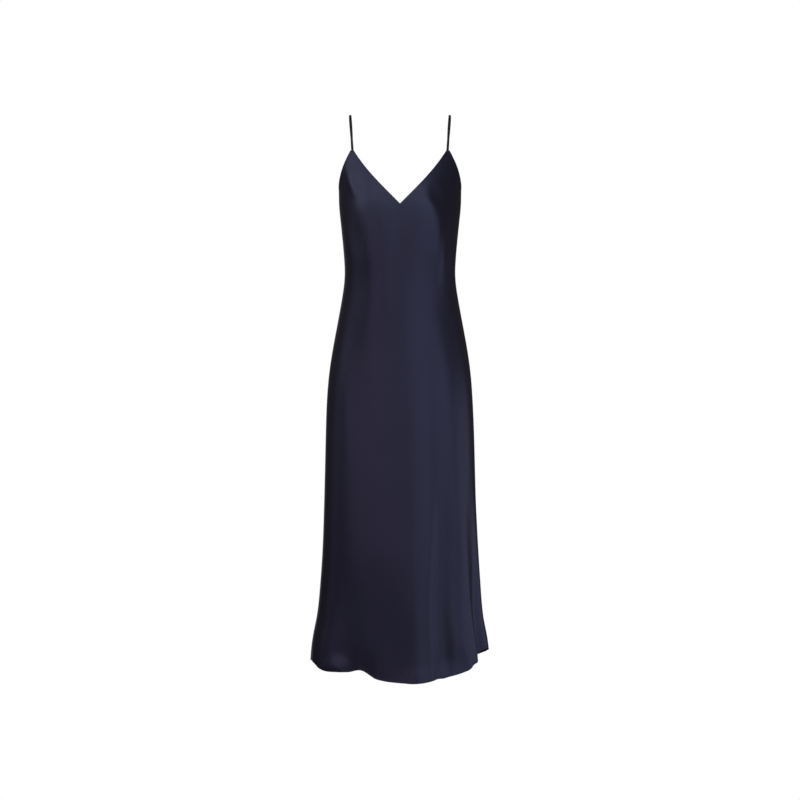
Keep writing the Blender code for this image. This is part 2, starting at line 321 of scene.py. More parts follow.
# ---- Creases: soft ridges (out above 0) and troughs (out below 0) ----
CREASES = (
    # from turn and drop, to turn and drop, bow to the right going down, half_width, out
    # (degrees for turns, millimetres for the rest)
    (-62, 110, -35, 190, -6, 24, 4.0),     # crescent over the left bust
    (-50, 190, -46, 330, 0, 42, -4.0),     # the shade below it
    (24, 150, 50, 215, 0, 28, -3.0),       # wedge of shade at the right bust
    (38, 120, 42, 440, 0, 48, 6.0),        # down from the right bust
    (-20, 220, -24, 560, 0, 54, 4.0),      # under the left bust
    (-50, 360, -14, 860, 0, 60, -3.5),     # from the left hip inwards
    (-36, 760, -30, 1240, 0, 56, 3.0),     # left thigh
    (-10, 900, -4, 1360, 0, 64, -5.0),
    (20, 720, 20, 1200, 0, 28, 3.0),       # light, dark and light fold on the right thigh
    (35, 700, 35, 1200, 0, 36, -4.0),
    (53, 720, 53, 1200, 0, 28, 3.0),
    (76, 700, 76, 1290, 0, 30, 5.0),       # along the right side seam
    (-58, 1176, -34, 1212, 0, 34, 7.0),    # hem kicked out
    (-14, 1236, 60, 1200, 0, 50, 6.0),
    (-41, 1140, -41, 1300, 0, 24, 4.0),    # short folds at the hem
    (-19, 1140, -19, 1300, 0, 20, -3.0),
    (10, 1120, 10, 1300, 0, 26, 3.0),
    (22, 1150, 22, 1300, 0, 14, -3.0),
    (28, 1150, 28, 1300, 0, 14, 3.0),
    (40, 1130, 40, 1290, 0, 18, -3.0),
    (46, 1130, 46, 1290, 0, 16, 3.0),
    (54, 1100, 54, 1280, 0, 18, -3.5),
    (128, 250, 150, 660, 8, 40, -2.5),     # the back, from the seat up to the scoop
    (232, 240, 208, 640, -8, 44, -2.5),
    (160, 260, 172, 700, 0, 44, 2.5),
    (196, 300, 190, 760, 0, 38, 1.8),
    (118, 480, 132, 1120, 6, 46, 3.0),
    (246, 460, 230, 1080, -8, 44, 3.5),
    (152, 620, 148, 1240, 0, 40, -2.5),
    (206, 600, 212, 1260, 0, 36, -3.0),
    (178, 700, 182, 1300, 0, 42, 2.5),
    (104, 640, 98, 1200, 0, 34, -2.0),     # the sides
    (-96, 330, -84, 760, 4, 40, 2.0),
    (84, 330, 98, 700, -4, 36, 2.0),
)


def crease_depth(turn, drop):
    """Each crease, on the cloth laid flat as (CREASE_RADIUS x turn, drop), follows a parabola from
    its start to its end, bow out at the middle. It stands out x bump(2t-1) along and bump(u)
    across, t being the share of its length and u the distance in half widths."""
    depth = np.zeros_like(turn)
    for from_turn, from_drop, to_turn, to_drop, bow, half_width, out in CREASES:
        right = between_turns(turn, from_turn * DEGREE) * CREASE_RADIUS
        place = np.stack([right, drop - from_drop * MM], axis=-1)
        end = np.array([(to_turn - from_turn) * DEGREE * CREASE_RADIUS, (to_drop - from_drop) * MM])
        length = np.linalg.norm(end)
        along, aside = end / length, np.array([end[1], -end[0]]) / length
        share = place @ along / length
        off = place @ aside - 4 * bow * MM * share * (1 - share)
        depth += out * MM * bump(2 * share - 1) * bump(off / (half_width * MM))
    return depth


def hem_ripple(turn, from_hem):
    """Small waves of the stitched hem: a sine round the dress for each of RIPPLES, times
    (1 - run / RIPPLE_REACH)^2 above the hem."""
    waves = sum(share * np.sin(count * turn + phase) for share, count, phase in RIPPLES)
    return RIPPLE_HEIGHT * waves * np.clip(1 - from_hem / RIPPLE_REACH, 0, 1) ** 2


def creased(turn, drop):
    """The outer face with its creases."""
    return cloth(turn, drop) + outward(turn, drop) * crease_depth(turn, drop)[..., None]


# ---- Panels ----

def spread_turns(start, end, count):
    """Turns spread evenly, both ends included."""
    return np.linspace(start, end, count + 1)


def side_turns(start, count):
    """Turns from start to the side seam, crowded at the seam as SIDE_RUNS says."""
    near = np.pi / 2 - np.array(SIDE_RUNS[::-1]) * MM / CREASE_RADIUS
    return np.concatenate([np.linspace(start, near[0], count, endpoint=False), near])


def mirrored(half):
    """Turns on both sides, from the half that starts at the centre."""
    return np.concatenate([-half[:0:-1], half])


def front_columns():
    """The front's turns from side seam to side seam, and the drop of its top edge at each."""
    inner = turn_at(PEAK_REACH - PEAK_WIDTH / 2, PEAK_DROP)
    outer = turn_at(PEAK_REACH + PEAK_WIDTH / 2, PEAK_DROP)
    neck = spread_turns(0, inner, NECK_COLUMNS)
    peak = spread_turns(inner, outer, PEAK_COLUMNS)[1:-1]
    arm = side_turns(outer, ARMHOLE_COLUMNS)
    top = np.concatenate([neck_drop(neck), np.full_like(peak, PEAK_DROP), armhole_drop(arm, outer)])
    return mirrored(np.concatenate([neck, peak, arm])), np.concatenate([top[:0:-1], top])


def back_columns():
    """The same for the back, whose turns run on from side seam to side seam behind."""
    peak = np.pi - BACK_PEAK_TURN
    half_peak = PEAK_WIDTH / 2 / form("half_width", BACK_PEAK_DROP)
    scoop = spread_turns(0, peak - half_peak, SCOOP_COLUMNS)
    flat = spread_turns(peak - half_peak, peak + half_peak, BACK_PEAK_COLUMNS)[1:-1]
    side = side_turns(peak + half_peak, BACK_SIDE_COLUMNS)
    scooped = (scoop / scoop[-1]) ** BACK_SCOOP_BEND
    share = (side - side[0]) / (side[-1] - side[0])
    scoop_top = BACK_SCOOP_DROP - (BACK_SCOOP_DROP - BACK_PEAK_DROP) * scooped
    side_top = BACK_PEAK_DROP + (UNDERARM_DROP - BACK_PEAK_DROP) * share
    side_top += 4 * BACK_SIDE_DIP * share * (1 - share)
    top = np.concatenate([scoop_top, np.full_like(flat, BACK_PEAK_DROP), side_top])
    return np.pi + mirrored(np.concatenate([scoop, flat, side])), np.concatenate([top[:0:-1], top])


def edge_stretch(turns, tops):
    """How much longer a way down the cloth is than the way square in from the top edge."""
    edge = cloth(turns, tops)
    step = np.gradient(edge, axis=0)
    level = np.linalg.norm(step[:, :2], axis=1)
    return np.hypot(level, step[:, 2]) / level


def row_places(turns, tops):
    """Each row's drop, and its run from the hem and from the top edge, a row from hem to top."""
    hems = hem_drop(turns)
    low, high = np.array(HEM_RUNS)[:, None] * MM, np.array(TOP_RUNS)[::-1, None] * MM
    stretch = edge_stretch(turns, tops)
    near_hem, near_top = hems - low, tops + high * stretch
    t = np.linspace(0, 1, MIDDLE_ROWS + 2)[1:-1, None]
    share = t - ROW_CROWDING * np.sin(2 * np.pi * t) / (2 * np.pi)
    middle = near_hem[-1] + (near_top[0] - near_hem[-1]) * share
    drops = np.concatenate([near_hem, middle, near_top])
    from_top = np.concatenate([
        (near_hem - tops) / stretch, (middle - tops) / stretch, high + 0 * tops
    ])
    return drops, hems - drops, from_top


def edge_layers(run, width, swell):
    """An edge turned inside, by its run from the edge: how far the outer face stands out, with a
    dent where it is stitched, and the share of the extra thickness."""
    share = np.clip(run / width, 0, None)
    arch = np.sin(np.pi * np.clip(share, 0, 1)) ** EDGE_FULLNESS
    out = swell * np.where(share < 1, arch, 0)
    out -= STITCH_DENT * bump((share - STITCH_DENT_AT) / STITCH_DENT_HALF)
    extra = 1 - np.clip((share - EDGE_LAYERS_TO) / EDGE_LAYERS_FADE, 0, 1)
    return out, extra


def grid_normals(points):
    """Outward normals of a grid whose rows go up and whose columns go with the turn."""
    across, up = np.gradient(points, axis=1), np.gradient(points, axis=0)
    return unit(np.cross(across, up))


def running(steps):
    """The sum of each row's steps so far, from 0 at its first place."""
    return np.concatenate([np.zeros((len(steps), 1)), np.cumsum(steps, axis=1)], axis=1)


def panel_grid(turns, tops):
    """The outer face, its normals, its thickness, its runs (from the centre, down) as UV, and how
    far each place is from the nearest edge or seam."""
    drops, from_hem, from_top = row_places(turns, tops)
    turn = np.broadcast_to(turns, drops.shape)
    points = cloth(turn, drops)
    normals = outward(turn, drops)
    swell_hem, extra_hem = edge_layers(from_hem, HEM_WIDTH, HEM_SWELL)
    swell_top, extra_top = edge_layers(from_top, EDGE_WIDTH, EDGE_SWELL)
    across = np.linalg.norm(np.diff(points, axis=1), axis=-1)
    from_first = running(across)
    from_side = np.minimum(from_first, running(across[:, ::-1])[:, ::-1])
    dip = SEAM_DIP * np.clip(1 - from_side / SEAM_DIP_WIDTH, 0, 1) ** 2
    depth = crease_depth(turn, drops) + hem_ripple(turn, from_hem) + swell_hem + swell_top - dip
    points = points + normals * depth[..., None]
    normals = grid_normals(points)
    thickness = CLOTH_THICKNESS * (1 + (LAYERS_AT_EDGE - 1) * np.maximum(extra_hem, extra_top))
    middle = len(turns) // 2
    run_across = from_first - from_first[:, middle : middle + 1]
    uv = np.stack([run_across, -drops], axis=-1)
    from_edge = np.minimum(np.minimum(from_hem, from_top), from_side)
    return points, normals, thickness, uv, from_edge


def closed_shell(name, points, normals, thickness, uv, from_edge, materials):
    """A wall between the outer face and points - normals x thickness, closed all round by a rim
    that is half a circle from one face to the other."""
    rows, columns = points.shape[:2]
    inner = points - normals * thickness[..., None]
    index = np.arange(rows * columns).reshape(rows, columns)
    quads = np.stack([index[:-1, :-1], index[:-1, 1:], index[1:, 1:], index[1:, :-1]], axis=-1)
    quads = quads.reshape(-1, 4)
    loop = np.concatenate([index[0, :-1], index[:-1, -1], index[-1, :0:-1], index[:0:-1, 0]])
    flat_points, flat_inner = points.reshape(-1, 3), inner.reshape(-1, 3)
    middle = (flat_points[loop] + flat_inner[loop]) / 2
    half = (flat_points[loop] - flat_inner[loop]) / 2
    ahead = np.roll(middle, -1, axis=0) - np.roll(middle, 1, axis=0)
    outwards = unit(np.cross(ahead, half)) * np.linalg.norm(half, axis=1, keepdims=True)
    angles = np.pi * np.arange(1, RIM_STEPS) / RIM_STEPS
    rim = np.concatenate([middle + half * np.cos(a) + outwards * np.sin(a) for a in angles])
    count = rows * columns
    rings = [loop]
    rings += [2 * count + k * len(loop) + np.arange(len(loop)) for k in range(RIM_STEPS - 1)]
    rings += [loop + count]
    rim_quads = [
        np.stack([a, b, np.roll(b, -1), np.roll(a, -1)], axis=-1)
        for a, b in zip(rings[:-1], rings[1:])
    ]
    faces = np.concatenate([quads, quads[:, ::-1] + count, *rim_quads])
    vertices = np.concatenate([flat_points, flat_inner, rim])
    flat_uv = uv.reshape(-1, 2)
    vertex_uv = np.concatenate([flat_uv, flat_uv, *[flat_uv[loop]] * (RIM_STEPS - 1)])
    material_index = np.zeros(len(faces), np.int32)
    material_index[len(quads) : 2 * len(quads)] = 1
    made = mesh_object(name, vertices, [faces], vertex_uv, materials, material_index)
    edge = np.concatenate([from_edge.ravel(), from_edge.ravel(), np.zeros(len(rim))])
    attribute = made.data.attributes.new("from_edge", "FLOAT", "POINT")
    attribute.data.foreach_set("value", edge.astype(np.float32))
    return made


def add_object(name, data):
    """A new object with this data, in the scene, at the origin."""
    made = bpy.data.objects.new(name, data)
    bpy.context.scene.collection.objects.link(made)
    return made


def mesh_object(name, vertices, face_sets, vertex_uv, materials, material_index=None):
    """A smooth-shaded mesh at the origin from arrays of faces, with a UV given for each vertex."""
    mesh = bpy.data.meshes.new(name)
    faces = [face for block in face_sets for face in block.tolist()]
    mesh.from_pydata(vertices.tolist(), [], faces)
    layer = mesh.uv_layers.new(name="cloth")
    corners = np.concatenate([block.ravel() for block in face_sets])
    layer.data.foreach_set("uv", vertex_uv[corners].astype(np.float32).ravel())
    for material in materials:
        mesh.materials.append(material)
    if material_index is not None:
        mesh.polygons.foreach_set("material_index", material_index)
    mesh.shade_smooth()
    return add_object(name, mesh)


def panel(name, columns, seam_shift, materials):
    """A panel of the dress, moved half a seam gap away from the side seams' plane, and its grid."""
    points, normals, thickness, uv, from_edge = panel_grid(*columns)
    points[..., 1] += seam_shift
    return closed_shell(name, points, normals, thickness, uv, from_edge, materials), points, normals


# ---- Stitches and seams ----

def tube_faces(rings, sides):
    """Quads between rings of a tube, and the triangles from its end rings to a pole at each end.
    Vertices come ring by ring, then the first pole and the last."""
    index = np.arange(rings * sides).reshape(rings, sides)
    beside = np.roll(index, -1, axis=1)
    quads = np.stack([index[:-1], beside[:-1], beside[1:], index[1:]], axis=-1).reshape(-1, 4)
    first, last = np.full(sides, rings * sides), np.full(sides, rings * sides + 1)
    fans = np.concatenate([
        np.stack([first, beside[0], index[0]], axis=1),
        np.stack([last, index[-1], beside[-1]], axis=1),
    ])
    return quads, fans


def stitches(name, lines, pitch, materials):
    """A row of stitches along each line of (points, normals). Along a stitch, t from -1 to 1, the
    thread's radius is r (1 - t^4)^(1/2), and its middle line stands r (STITCH_RISE -
    STITCH_DIVE t^4) out from the cloth."""
    t = np.array([*STITCH_RINGS, -1.0, 1.0])
    radius = STITCH_RADIUS * np.sqrt(np.clip(1 - t**4, 0, None))
    rise = STITCH_RADIUS * (STITCH_RISE - STITCH_DIVE * t**4)
    angle = 2 * np.pi * np.arange(STITCH_SIDES) / STITCH_SIDES
    quads, fans = tube_faces(len(STITCH_RINGS), STITCH_SIDES)
    vertices, uvs, count = [], [], 0
    for points, normals in lines:
        run = np.concatenate([[0], np.cumsum(np.linalg.norm(np.diff(points, axis=0), axis=1))])
        number = int(run[-1] / pitch)
        middle = (np.arange(number) + 0.5) * run[-1] / number
        at = middle[:, None] + t * STITCH_SHARE * pitch / 2
        place = np.stack([np.interp(at, run, column) for column in points.T], axis=-1)
        out = unit(np.stack([np.interp(at, run, column) for column in normals.T], axis=-1))
        ahead = unit(place[:, len(STITCH_RINGS) - 1] - place[:, 0])[:, None]
        aside = np.cross(out, ahead)
        centre = place + out * rise[:, None]
        spread = np.cos(angle)[:, None] * aside[:, :, None]
        spread = spread + np.sin(angle)[:, None] * out[:, :, None]
        tube = centre[:, :, None] + spread * radius[:, None, None]
        body, ends = tube[:, :-2].reshape(number, -1, 3), centre[:, -2:]
        vertices.append(np.concatenate([body, ends], axis=1).reshape(-1, 3))
        shape = (number, len(STITCH_RINGS), STITCH_SIDES)
        round_run = np.broadcast_to(angle * STITCH_RADIUS, shape)
        long_run = np.broadcast_to(at[:, :-2, None], shape)
        body_uv = np.stack([round_run, long_run], axis=-1).reshape(number, -1, 2)
        end_uv = np.stack([np.zeros((number, 2)), at[:, -2:]], axis=-1)
        uvs.append(np.concatenate([body_uv, end_uv], axis=1).reshape(-1, 2))
        count += number
    size = len(STITCH_RINGS) * STITCH_SIDES + 2
    first = size * np.arange(count)[:, None, None]
    sets = [(quads + first).reshape(-1, 4), (fans + first).reshape(-1, 3)]
    return mesh_object(name, np.concatenate(vertices), sets, np.concatenate(uvs), materials)


def rows_of(points, normals, rows):
    """Rows of a panel's grid as lines for stitches."""
    return [(points[row], normals[row]) for row in rows]


def tack_lines(turn, drop):
    """Short rows of stitches that hold a strap's end behind each of a panel's two peaks."""
    across = np.linspace(-TACK_REACH, TACK_REACH, TACK_POINTS) * MM / CREASE_RADIUS
    lines = []
    for side in (1, -1):
        for lower in TACK_DROPS:
            turns = side * (turn + across)
            drops = np.full_like(turns, drop + lower)
            lines.append((creased(turns, drops), outward(turns, drops)))
    return lines


def seam_allowance(name, side, materials):
    """The side seam's turned edges: a flat superellipse carried down inside the seam, moved
    towards the back till it only just covers the seam, and pushed inwards by its flutter, the
    part above 0 of the product of two sines along the drop."""
    turn = side * np.pi / 2
    lowest = float(hem_drop(np.array([turn]))[0]) - HEM_WIDTH - ALLOWANCE_ABOVE_HEM
    drops = np.linspace(UNDERARM_DROP + ALLOWANCE_BELOW_ARM, lowest, ALLOWANCE_ROWS)
    turns = np.full_like(drops, turn)
    normals = outward(turns, drops)
    below = CLOTH_THICKNESS + ALLOWANCE_THICKNESS / 2 + ALLOWANCE_CLEARANCE
    line = creased(turns, drops) - normals * below
    across = unit(np.cross(normals, unit(np.gradient(line, axis=0))))
    line += side * across * (ALLOWANCE_WIDTH / 2 - ALLOWANCE_OVERLAP)
    angle = 2 * np.pi * np.arange(ALLOWANCE_SIDES) / ALLOWANCE_SIDES
    wide = signed_power(np.cos(angle), ALLOWANCE_POWER) * ALLOWANCE_WIDTH / 2
    thick = signed_power(np.sin(angle), ALLOWANCE_POWER) * ALLOWANCE_THICKNESS / 2
    quick, slow = FLUTTER_RATES
    flutter = FLUTTER_HEIGHT * np.sin(drops * quick) * np.sin(drops * slow + FLUTTER_PHASE)
    rings = line[:, None] + across[:, None] * wide[:, None] + normals[:, None] * thick[:, None]
    rings -= normals[:, None] * np.clip(flutter, 0, None)[:, None, None]
    poles = np.stack([line[0], line[-1]])
    quads, fans = tube_faces(len(drops), ALLOWANCE_SIDES)
    uv = np.stack(np.broadcast_arrays(wide[None, :], drops[:, None]), axis=-1).reshape(-1, 2)
    uv = np.concatenate([uv, [[0, drops[0]], [0, drops[-1]]]])
    vertices = np.concatenate([rings.reshape(-1, 3), poles])
    return mesh_object(name, vertices, [quads, fans], uv, materials)


# ---- Straps ----
STRAP_STEPS = 150
STRAP_SIDES = 24
STRAP_BOXINESS = 2.6       # of the tube's section: 2 is an ellipse, more is boxier
STRAP_SEAM = 0.10          # depth of the seam on the inside, as a share of the half thickness
STRAP_SEAM_SPREAD = 40 * DEGREE
STRAP_CAP_ANGLES = (25, 50, 75)


def strap_end(turn, peak):
    """A sewn-in end of the strap, a seam gap behind the panel, and the panel's outward normal."""
    drops = peak + STRAP_TUCK * np.array(STRAP_TUCK_SHARES)
    turns = np.full_like(drops, turn)
    normals = outward(turns, drops)
    behind = PANEL_WALL + SEAM_GAP + STRAP_THICKNESS / 2
    return creased(turns, drops) - behind * normals, normals[-1]


def strap_route():
    """The left strap's middle line, the direction across it and the one it faces."""
    front, front_normal = strap_end(turn_at(PEAK_REACH, PEAK_DROP), PEAK_DROP)
    back, back_normal = strap_end(BACK_PEAK_TURN, BACK_PEAK_DROP)
    points = np.concatenate([front, MM * np.array(STRAP_OVER), back[::-1]])
    length = np.concatenate([[0], np.cumsum(np.linalg.norm(np.diff(points, axis=0), axis=1))])
    at = np.linspace(0, length[-1], STRAP_STEPS + 1)
    line = np.stack([spline(length, column, at) for column in points.T], axis=-1)
    normals = np.array([front_normal, STRAP_CREST_NORMAL, back_normal])
    places = np.linspace(0, length[-1], len(normals))
    facing = np.stack([spline(places, column, at) for column in normals.T], axis=-1)
    along = np.gradient(line, axis=0)
    across = unit(np.cross(along, facing))
    return line, across, unit(np.cross(across, along)), at


def held_at_ends(rows, count):
    """The rows, with the first and the last one repeated count more times."""
    return np.concatenate([np.repeat(rows[:1], count, 0), rows, np.repeat(rows[-1:], count, 0)])


def strap(name, side, materials):
    """A turned tube, pressed flat: a superellipse carried along the strap's line, with the dent of
    its seam on the inside, and closed at both ends by a cap that is half an ellipse long."""
    line, across, facing, at = strap_route()
    angle = 2 * np.pi * np.arange(STRAP_SIDES) / STRAP_SIDES
    power = 2 / STRAP_BOXINESS
    wide = signed_power(np.cos(angle), power) * STRAP_WIDTH / 2
    seam = 1 - STRAP_SEAM * bump(between_turns(angle, -np.pi / 2) / STRAP_SEAM_SPREAD)
    thick = signed_power(np.sin(angle), power) * seam * STRAP_THICKNESS / 2
    cap = np.array(STRAP_CAP_ANGLES) * DEGREE
    first, last = unit(line[0] - line[1]), unit(line[-1] - line[-2])
    reach = STRAP_THICKNESS / 2
    line = np.concatenate([
        line[0] + first * reach * np.sin(cap[::-1, None]),
        line,
        line[-1] + last * reach * np.sin(cap[:, None]),
    ])
    scale = np.concatenate([np.cos(cap[::-1]), np.ones(len(at)), np.cos(cap)])[:, None, None]
    across, facing, at = (held_at_ends(rows, len(cap)) for rows in (across, facing, at))
    section = across[:, None] * wide[:, None] + facing[:, None] * thick[:, None]
    rings = (line[:, None] + section * scale).reshape(-1, 3)
    poles = np.stack([line[len(cap)] + first * reach, line[-len(cap) - 1] + last * reach])
    vertices = np.concatenate([rings, poles]) * (side, 1, 1)
    quads, fans = tube_faces(len(line), STRAP_SIDES)
    if side > 0:
        quads, fans = quads[:, ::-1], fans[:, ::-1]
    round_run = np.concatenate([[0], np.cumsum(np.hypot(np.diff(wide), np.diff(thick)))])
    uv = np.stack(np.broadcast_arrays(round_run[None, :], at[:, None]), axis=-1).reshape(-1, 2)
    uv = np.concatenate([uv, [[0, at[0]], [0, at[-1]]]])
    return mesh_object(name, vertices, [quads, fans], uv, materials)


# ---- Materials ----
# satin mirrors light in its own colour, as a dark metal does
FINISHES = {
    # colour, roughness, metallic; depths of the weave, the puckers and the slow waves, in metres
    "satin_face": ((0.053, 0.057, 0.113), 0.36, 0.6, 0.000004, 0.0010, 0.0003),
    "satin_inside": ((0.030, 0.032, 0.058), 0.55, 0.25, 0.000006, 0.0006, 0.0003),
    "strap_satin": ((0.018, 0.019, 0.036), 0.42, 0.45, 0.000006, 0.0, 0.0001),
}
SHADE_LEAST = 0.87         # share of the colour that is always there
SHADE_BY_WEAVE = 0.10
SHADE_BY_UNEVENNESS = 0.16
ROUGHNESS_LESS = 0.045     # taken off, before the two below add to it
ROUGHNESS_BY_WEAVE = 0.03
ROUGHNESS_BY_UNEVENNESS = 0.06
THREAD_COLOUR = (0.030, 0.032, 0.062)
THREAD_ROUGHNESS = 0.42
THREAD_METALLIC = 0.35
THREADS = 4200             # per metre, across the floats
BIAS = 45 * DEGREE         # the cloth is cut on the bias


def new_material(name, roughness, metallic):
    """A material with a Principled BSDF of these values, and its node tree."""
    material = bpy.data.materials.new(name)
    material.use_nodes = True
    shader = material.node_tree.nodes["Principled BSDF"]
    shader.inputs["Roughness"].default_value = roughness
    shader.inputs["Metallic"].default_value = metallic
    return material, material.node_tree, shader


def add_node(tree, kind, links=(), **values):
    """A node with its settings, its socket values (by name or number) and its incoming links."""
    node = tree.nodes.new(kind)
    for key, value in values.items():
        if hasattr(node, key):
            setattr(node, key, value)
        else:
            node.inputs[key.replace("_", " ")].default_value = value
    for source, target in links:
        tree.links.new(source, node.inputs[target])
    return node


def calculate(tree, operation, first, second=0.5, third=0.0):
    """A Math node on numbers or sockets, and its result."""
    node = tree.nodes.new("ShaderNodeMath")
    node.operation = operation
    for place, given in enumerate((first, second, third)):
        if isinstance(given, (int, float)):
            node.inputs[place].default_value = given
        else:
            tree.links.new(given, node.inputs[place])
    return node.outputs[0]


def weighted(tree, first, by_first, second, by_second, least):
    """first x by_first + second x by_second + least, as Math nodes."""
    inner = calculate(tree, "MULTIPLY_ADD", second, by_second, least)
    return calculate(tree, "MULTIPLY_ADD", first, by_first, inner)


def new_group(name, inputs, outputs):
    """A shader node group with named sockets: (name, kind, default) and (name, kind)."""
    tree = bpy.data.node_groups.new(name, "ShaderNodeTree")
    for label, kind, default in inputs:
        socket = tree.interface.new_socket(label, in_out="INPUT", socket_type="NodeSocket" + kind)
        if default is not None:
            socket.default_value = default
    for label, kind in outputs:
        tree.interface.new_socket(label, in_out="OUTPUT", socket_type="NodeSocket" + kind)
    return tree, tree.nodes.new("NodeGroupInput").outputs, tree.nodes.new("NodeGroupOutput").inputs


def satin_weave_group():
    """Floats of five threads, stepped from row to row and turned to the bias: Height is lower
    between floats, Tint varies from float to float."""
    tree, given, result = new_group(
        "satin_weave",
        [("Place", "Vector", None), ("Threads", "Float", THREADS), ("Turn", "Float", BIAS)],
        [("Height", "Float"), ("Tint", "Float")],
    )
    turned = add_node(
        tree, "ShaderNodeVectorRotate", [(given["Place"], "Vector"), (given["Turn"], "Angle")]
    )
    scaled = tree.nodes.new("ShaderNodeVectorMath")
    scaled.operation = "SCALE"
    tree.links.new(turned.outputs[0], scaled.inputs[0])
    tree.links.new(given["Threads"], scaled.inputs["Scale"])
    floats = add_node(
        tree, "ShaderNodeTexBrick", [(scaled.outputs[0], "Vector")],
        offset=0.4, offset_frequency=2,
        Color1=(0, 0, 0, 1), Color2=(1, 1, 1, 1), Mortar=(0.5, 0.5, 0.5, 1),
        Scale=1.0, Mortar_Size=0.12, Mortar_Smooth=0.8, Brick_Width=5.0, Row_Height=1.0,
    )
    tree.links.new(calculate(tree, "SUBTRACT", 1.0, floats.outputs["Fac"]), result["Height"])
    tree.links.new(floats.outputs["Color"], result["Tint"])
    return tree


def cloth_unevenness_group():
    """Slow changes over the cloth: Tint from 0 to 1, and Height for its slight waves."""
    tree, given, result = new_group(
        "cloth_unevenness",
        [("Place", "Vector", None), ("Scale", "Float", 9.0)],
        [("Height", "Float"), ("Tint", "Float")],
    )
    broad = add_node(
        tree, "ShaderNodeTexNoise", [(given["Place"], "Vector"), (given["Scale"], "Scale")],
        Detail=1.0, Roughness=0.5, Distortion=0.4,
    )
    tree.links.new(broad.outputs["Fac"], result["Height"])
    tree.links.new(broad.outputs["Fac"], result["Tint"])
    return tree


def edge_puckers_group():
    """Short puckers beside a stitched edge or seam: noise that fades out over Reach."""
    tree, given, result = new_group(
        "edge_puckers",
        [
            ("Place", "Vector", None), ("From Edge", "Float", 1.0),
            ("Reach", "Float", 0.012), ("Scale", "Float", 95.0),
        ],
        [("Height", "Float")],
    )
    crinkle = add_node(
        tree, "ShaderNodeTexNoise", [(given["Place"], "Vector"), (given["Scale"], "Scale")],
        Detail=2.0, Roughness=0.45, Distortion=0.6,
    )
    gone = calculate(tree, "DIVIDE", given["From Edge"], given["Reach"])
    near = calculate(tree, "SUBTRACT", 1.0, gone)
    fade = calculate(tree, "POWER", calculate(tree, "MAXIMUM", near, 0.0), 1.5)
    tree.links.new(calculate(tree, "MULTIPLY", crinkle.outputs["Fac"], fade), result["Height"])
    return tree


def satin(name, groups, colour, roughness, metallic, weave_depth, pucker_depth, wave_depth):
    """Satin: colour and roughness vary a little from float to float and over the cloth, and the
    weave, the slow waves and the puckers at the edges are in its bump."""
    material, tree, shader = new_material(name, roughness, metallic)
    place = add_node(tree, "ShaderNodeUVMap", uv_map="cloth").outputs["UV"]
    edge = add_node(tree, "ShaderNodeAttribute", attribute_name="from_edge").outputs["Fac"]
    weave = group_node(tree, groups["weave"], Place=place)
    uneven = group_node(tree, groups["uneven"], Place=place)
    pucker = group_node(tree, groups["pucker"], Place=place)
    tree.links.new(edge, pucker.inputs["From Edge"])
    shade = weighted(
        tree, weave.outputs["Tint"], SHADE_BY_WEAVE,
        uneven.outputs["Tint"], SHADE_BY_UNEVENNESS, SHADE_LEAST,
    )
    tinted = tree.nodes.new("ShaderNodeVectorMath")
    tinted.operation = "SCALE"
    tinted.inputs[0].default_value = colour
    tree.links.new(shade, tinted.inputs["Scale"])
    tree.links.new(tinted.outputs[0], shader.inputs["Base Color"])
    rough = weighted(
        tree, uneven.outputs["Tint"], ROUGHNESS_BY_UNEVENNESS,
        weave.outputs["Tint"], ROUGHNESS_BY_WEAVE, roughness - ROUGHNESS_LESS,
    )
    tree.links.new(rough, shader.inputs["Roughness"])
    puckered = calculate(tree, "MULTIPLY", pucker.outputs["Height"], pucker_depth)
    height = weighted(
        tree, weave.outputs["Height"], weave_depth, uneven.outputs["Height"], wave_depth, puckered
    )
    bump_node = add_node(tree, "ShaderNodeBump", [(height, "Height")], Strength=1.0, Distance=1.0)
    tree.links.new(bump_node.outputs[0], shader.inputs["Normal"])
    return material


def group_node(tree, group, **links):
    """A node group placed in a material, with its linked inputs."""
    node = tree.nodes.new("ShaderNodeGroup")
    node.node_tree = group
    for key, source in links.items():
        tree.links.new(source, node.inputs[key])
    return node


def thread(name):
    """Polyester thread: a twist of fine ridges round each stitch."""
    material, tree, shader = new_material(name, THREAD_ROUGHNESS, THREAD_METALLIC)
    shader.inputs["Base Color"].default_value = (*THREAD_COLOUR, 1)
    place = add_node(tree, "ShaderNodeUVMap", uv_map="cloth").outputs["UV"]
    twist = add_node(
        tree, "ShaderNodeTexWave", [(place, "Vector")],
        bands_direction="DIAGONAL", Scale=900.0, Distortion=0.4, Detail=1.0,
    )
    bump_node = add_node(
        tree, "ShaderNodeBump", [(twist.outputs["Fac"], "Height")], Strength=0.5, Distance=0.00006
    )
    tree.links.new(bump_node.outputs[0], shader.inputs["Normal"])
    return material


# ---- Studio ----
CAMERA_PLACE = (0, -3.9902562, -0.34097411)
CAMERA_AIM = (0, 0, -0.620)
CAMERA_LENS = 81.8
FLOOR_DROP = 2.3
FLOOR_HALF = 12.0
FLOOR_SHADE = 0.2
FLOOR_ROUGHNESS = 0.9
AMBIENT = (0.06, 0.045, 0.03)

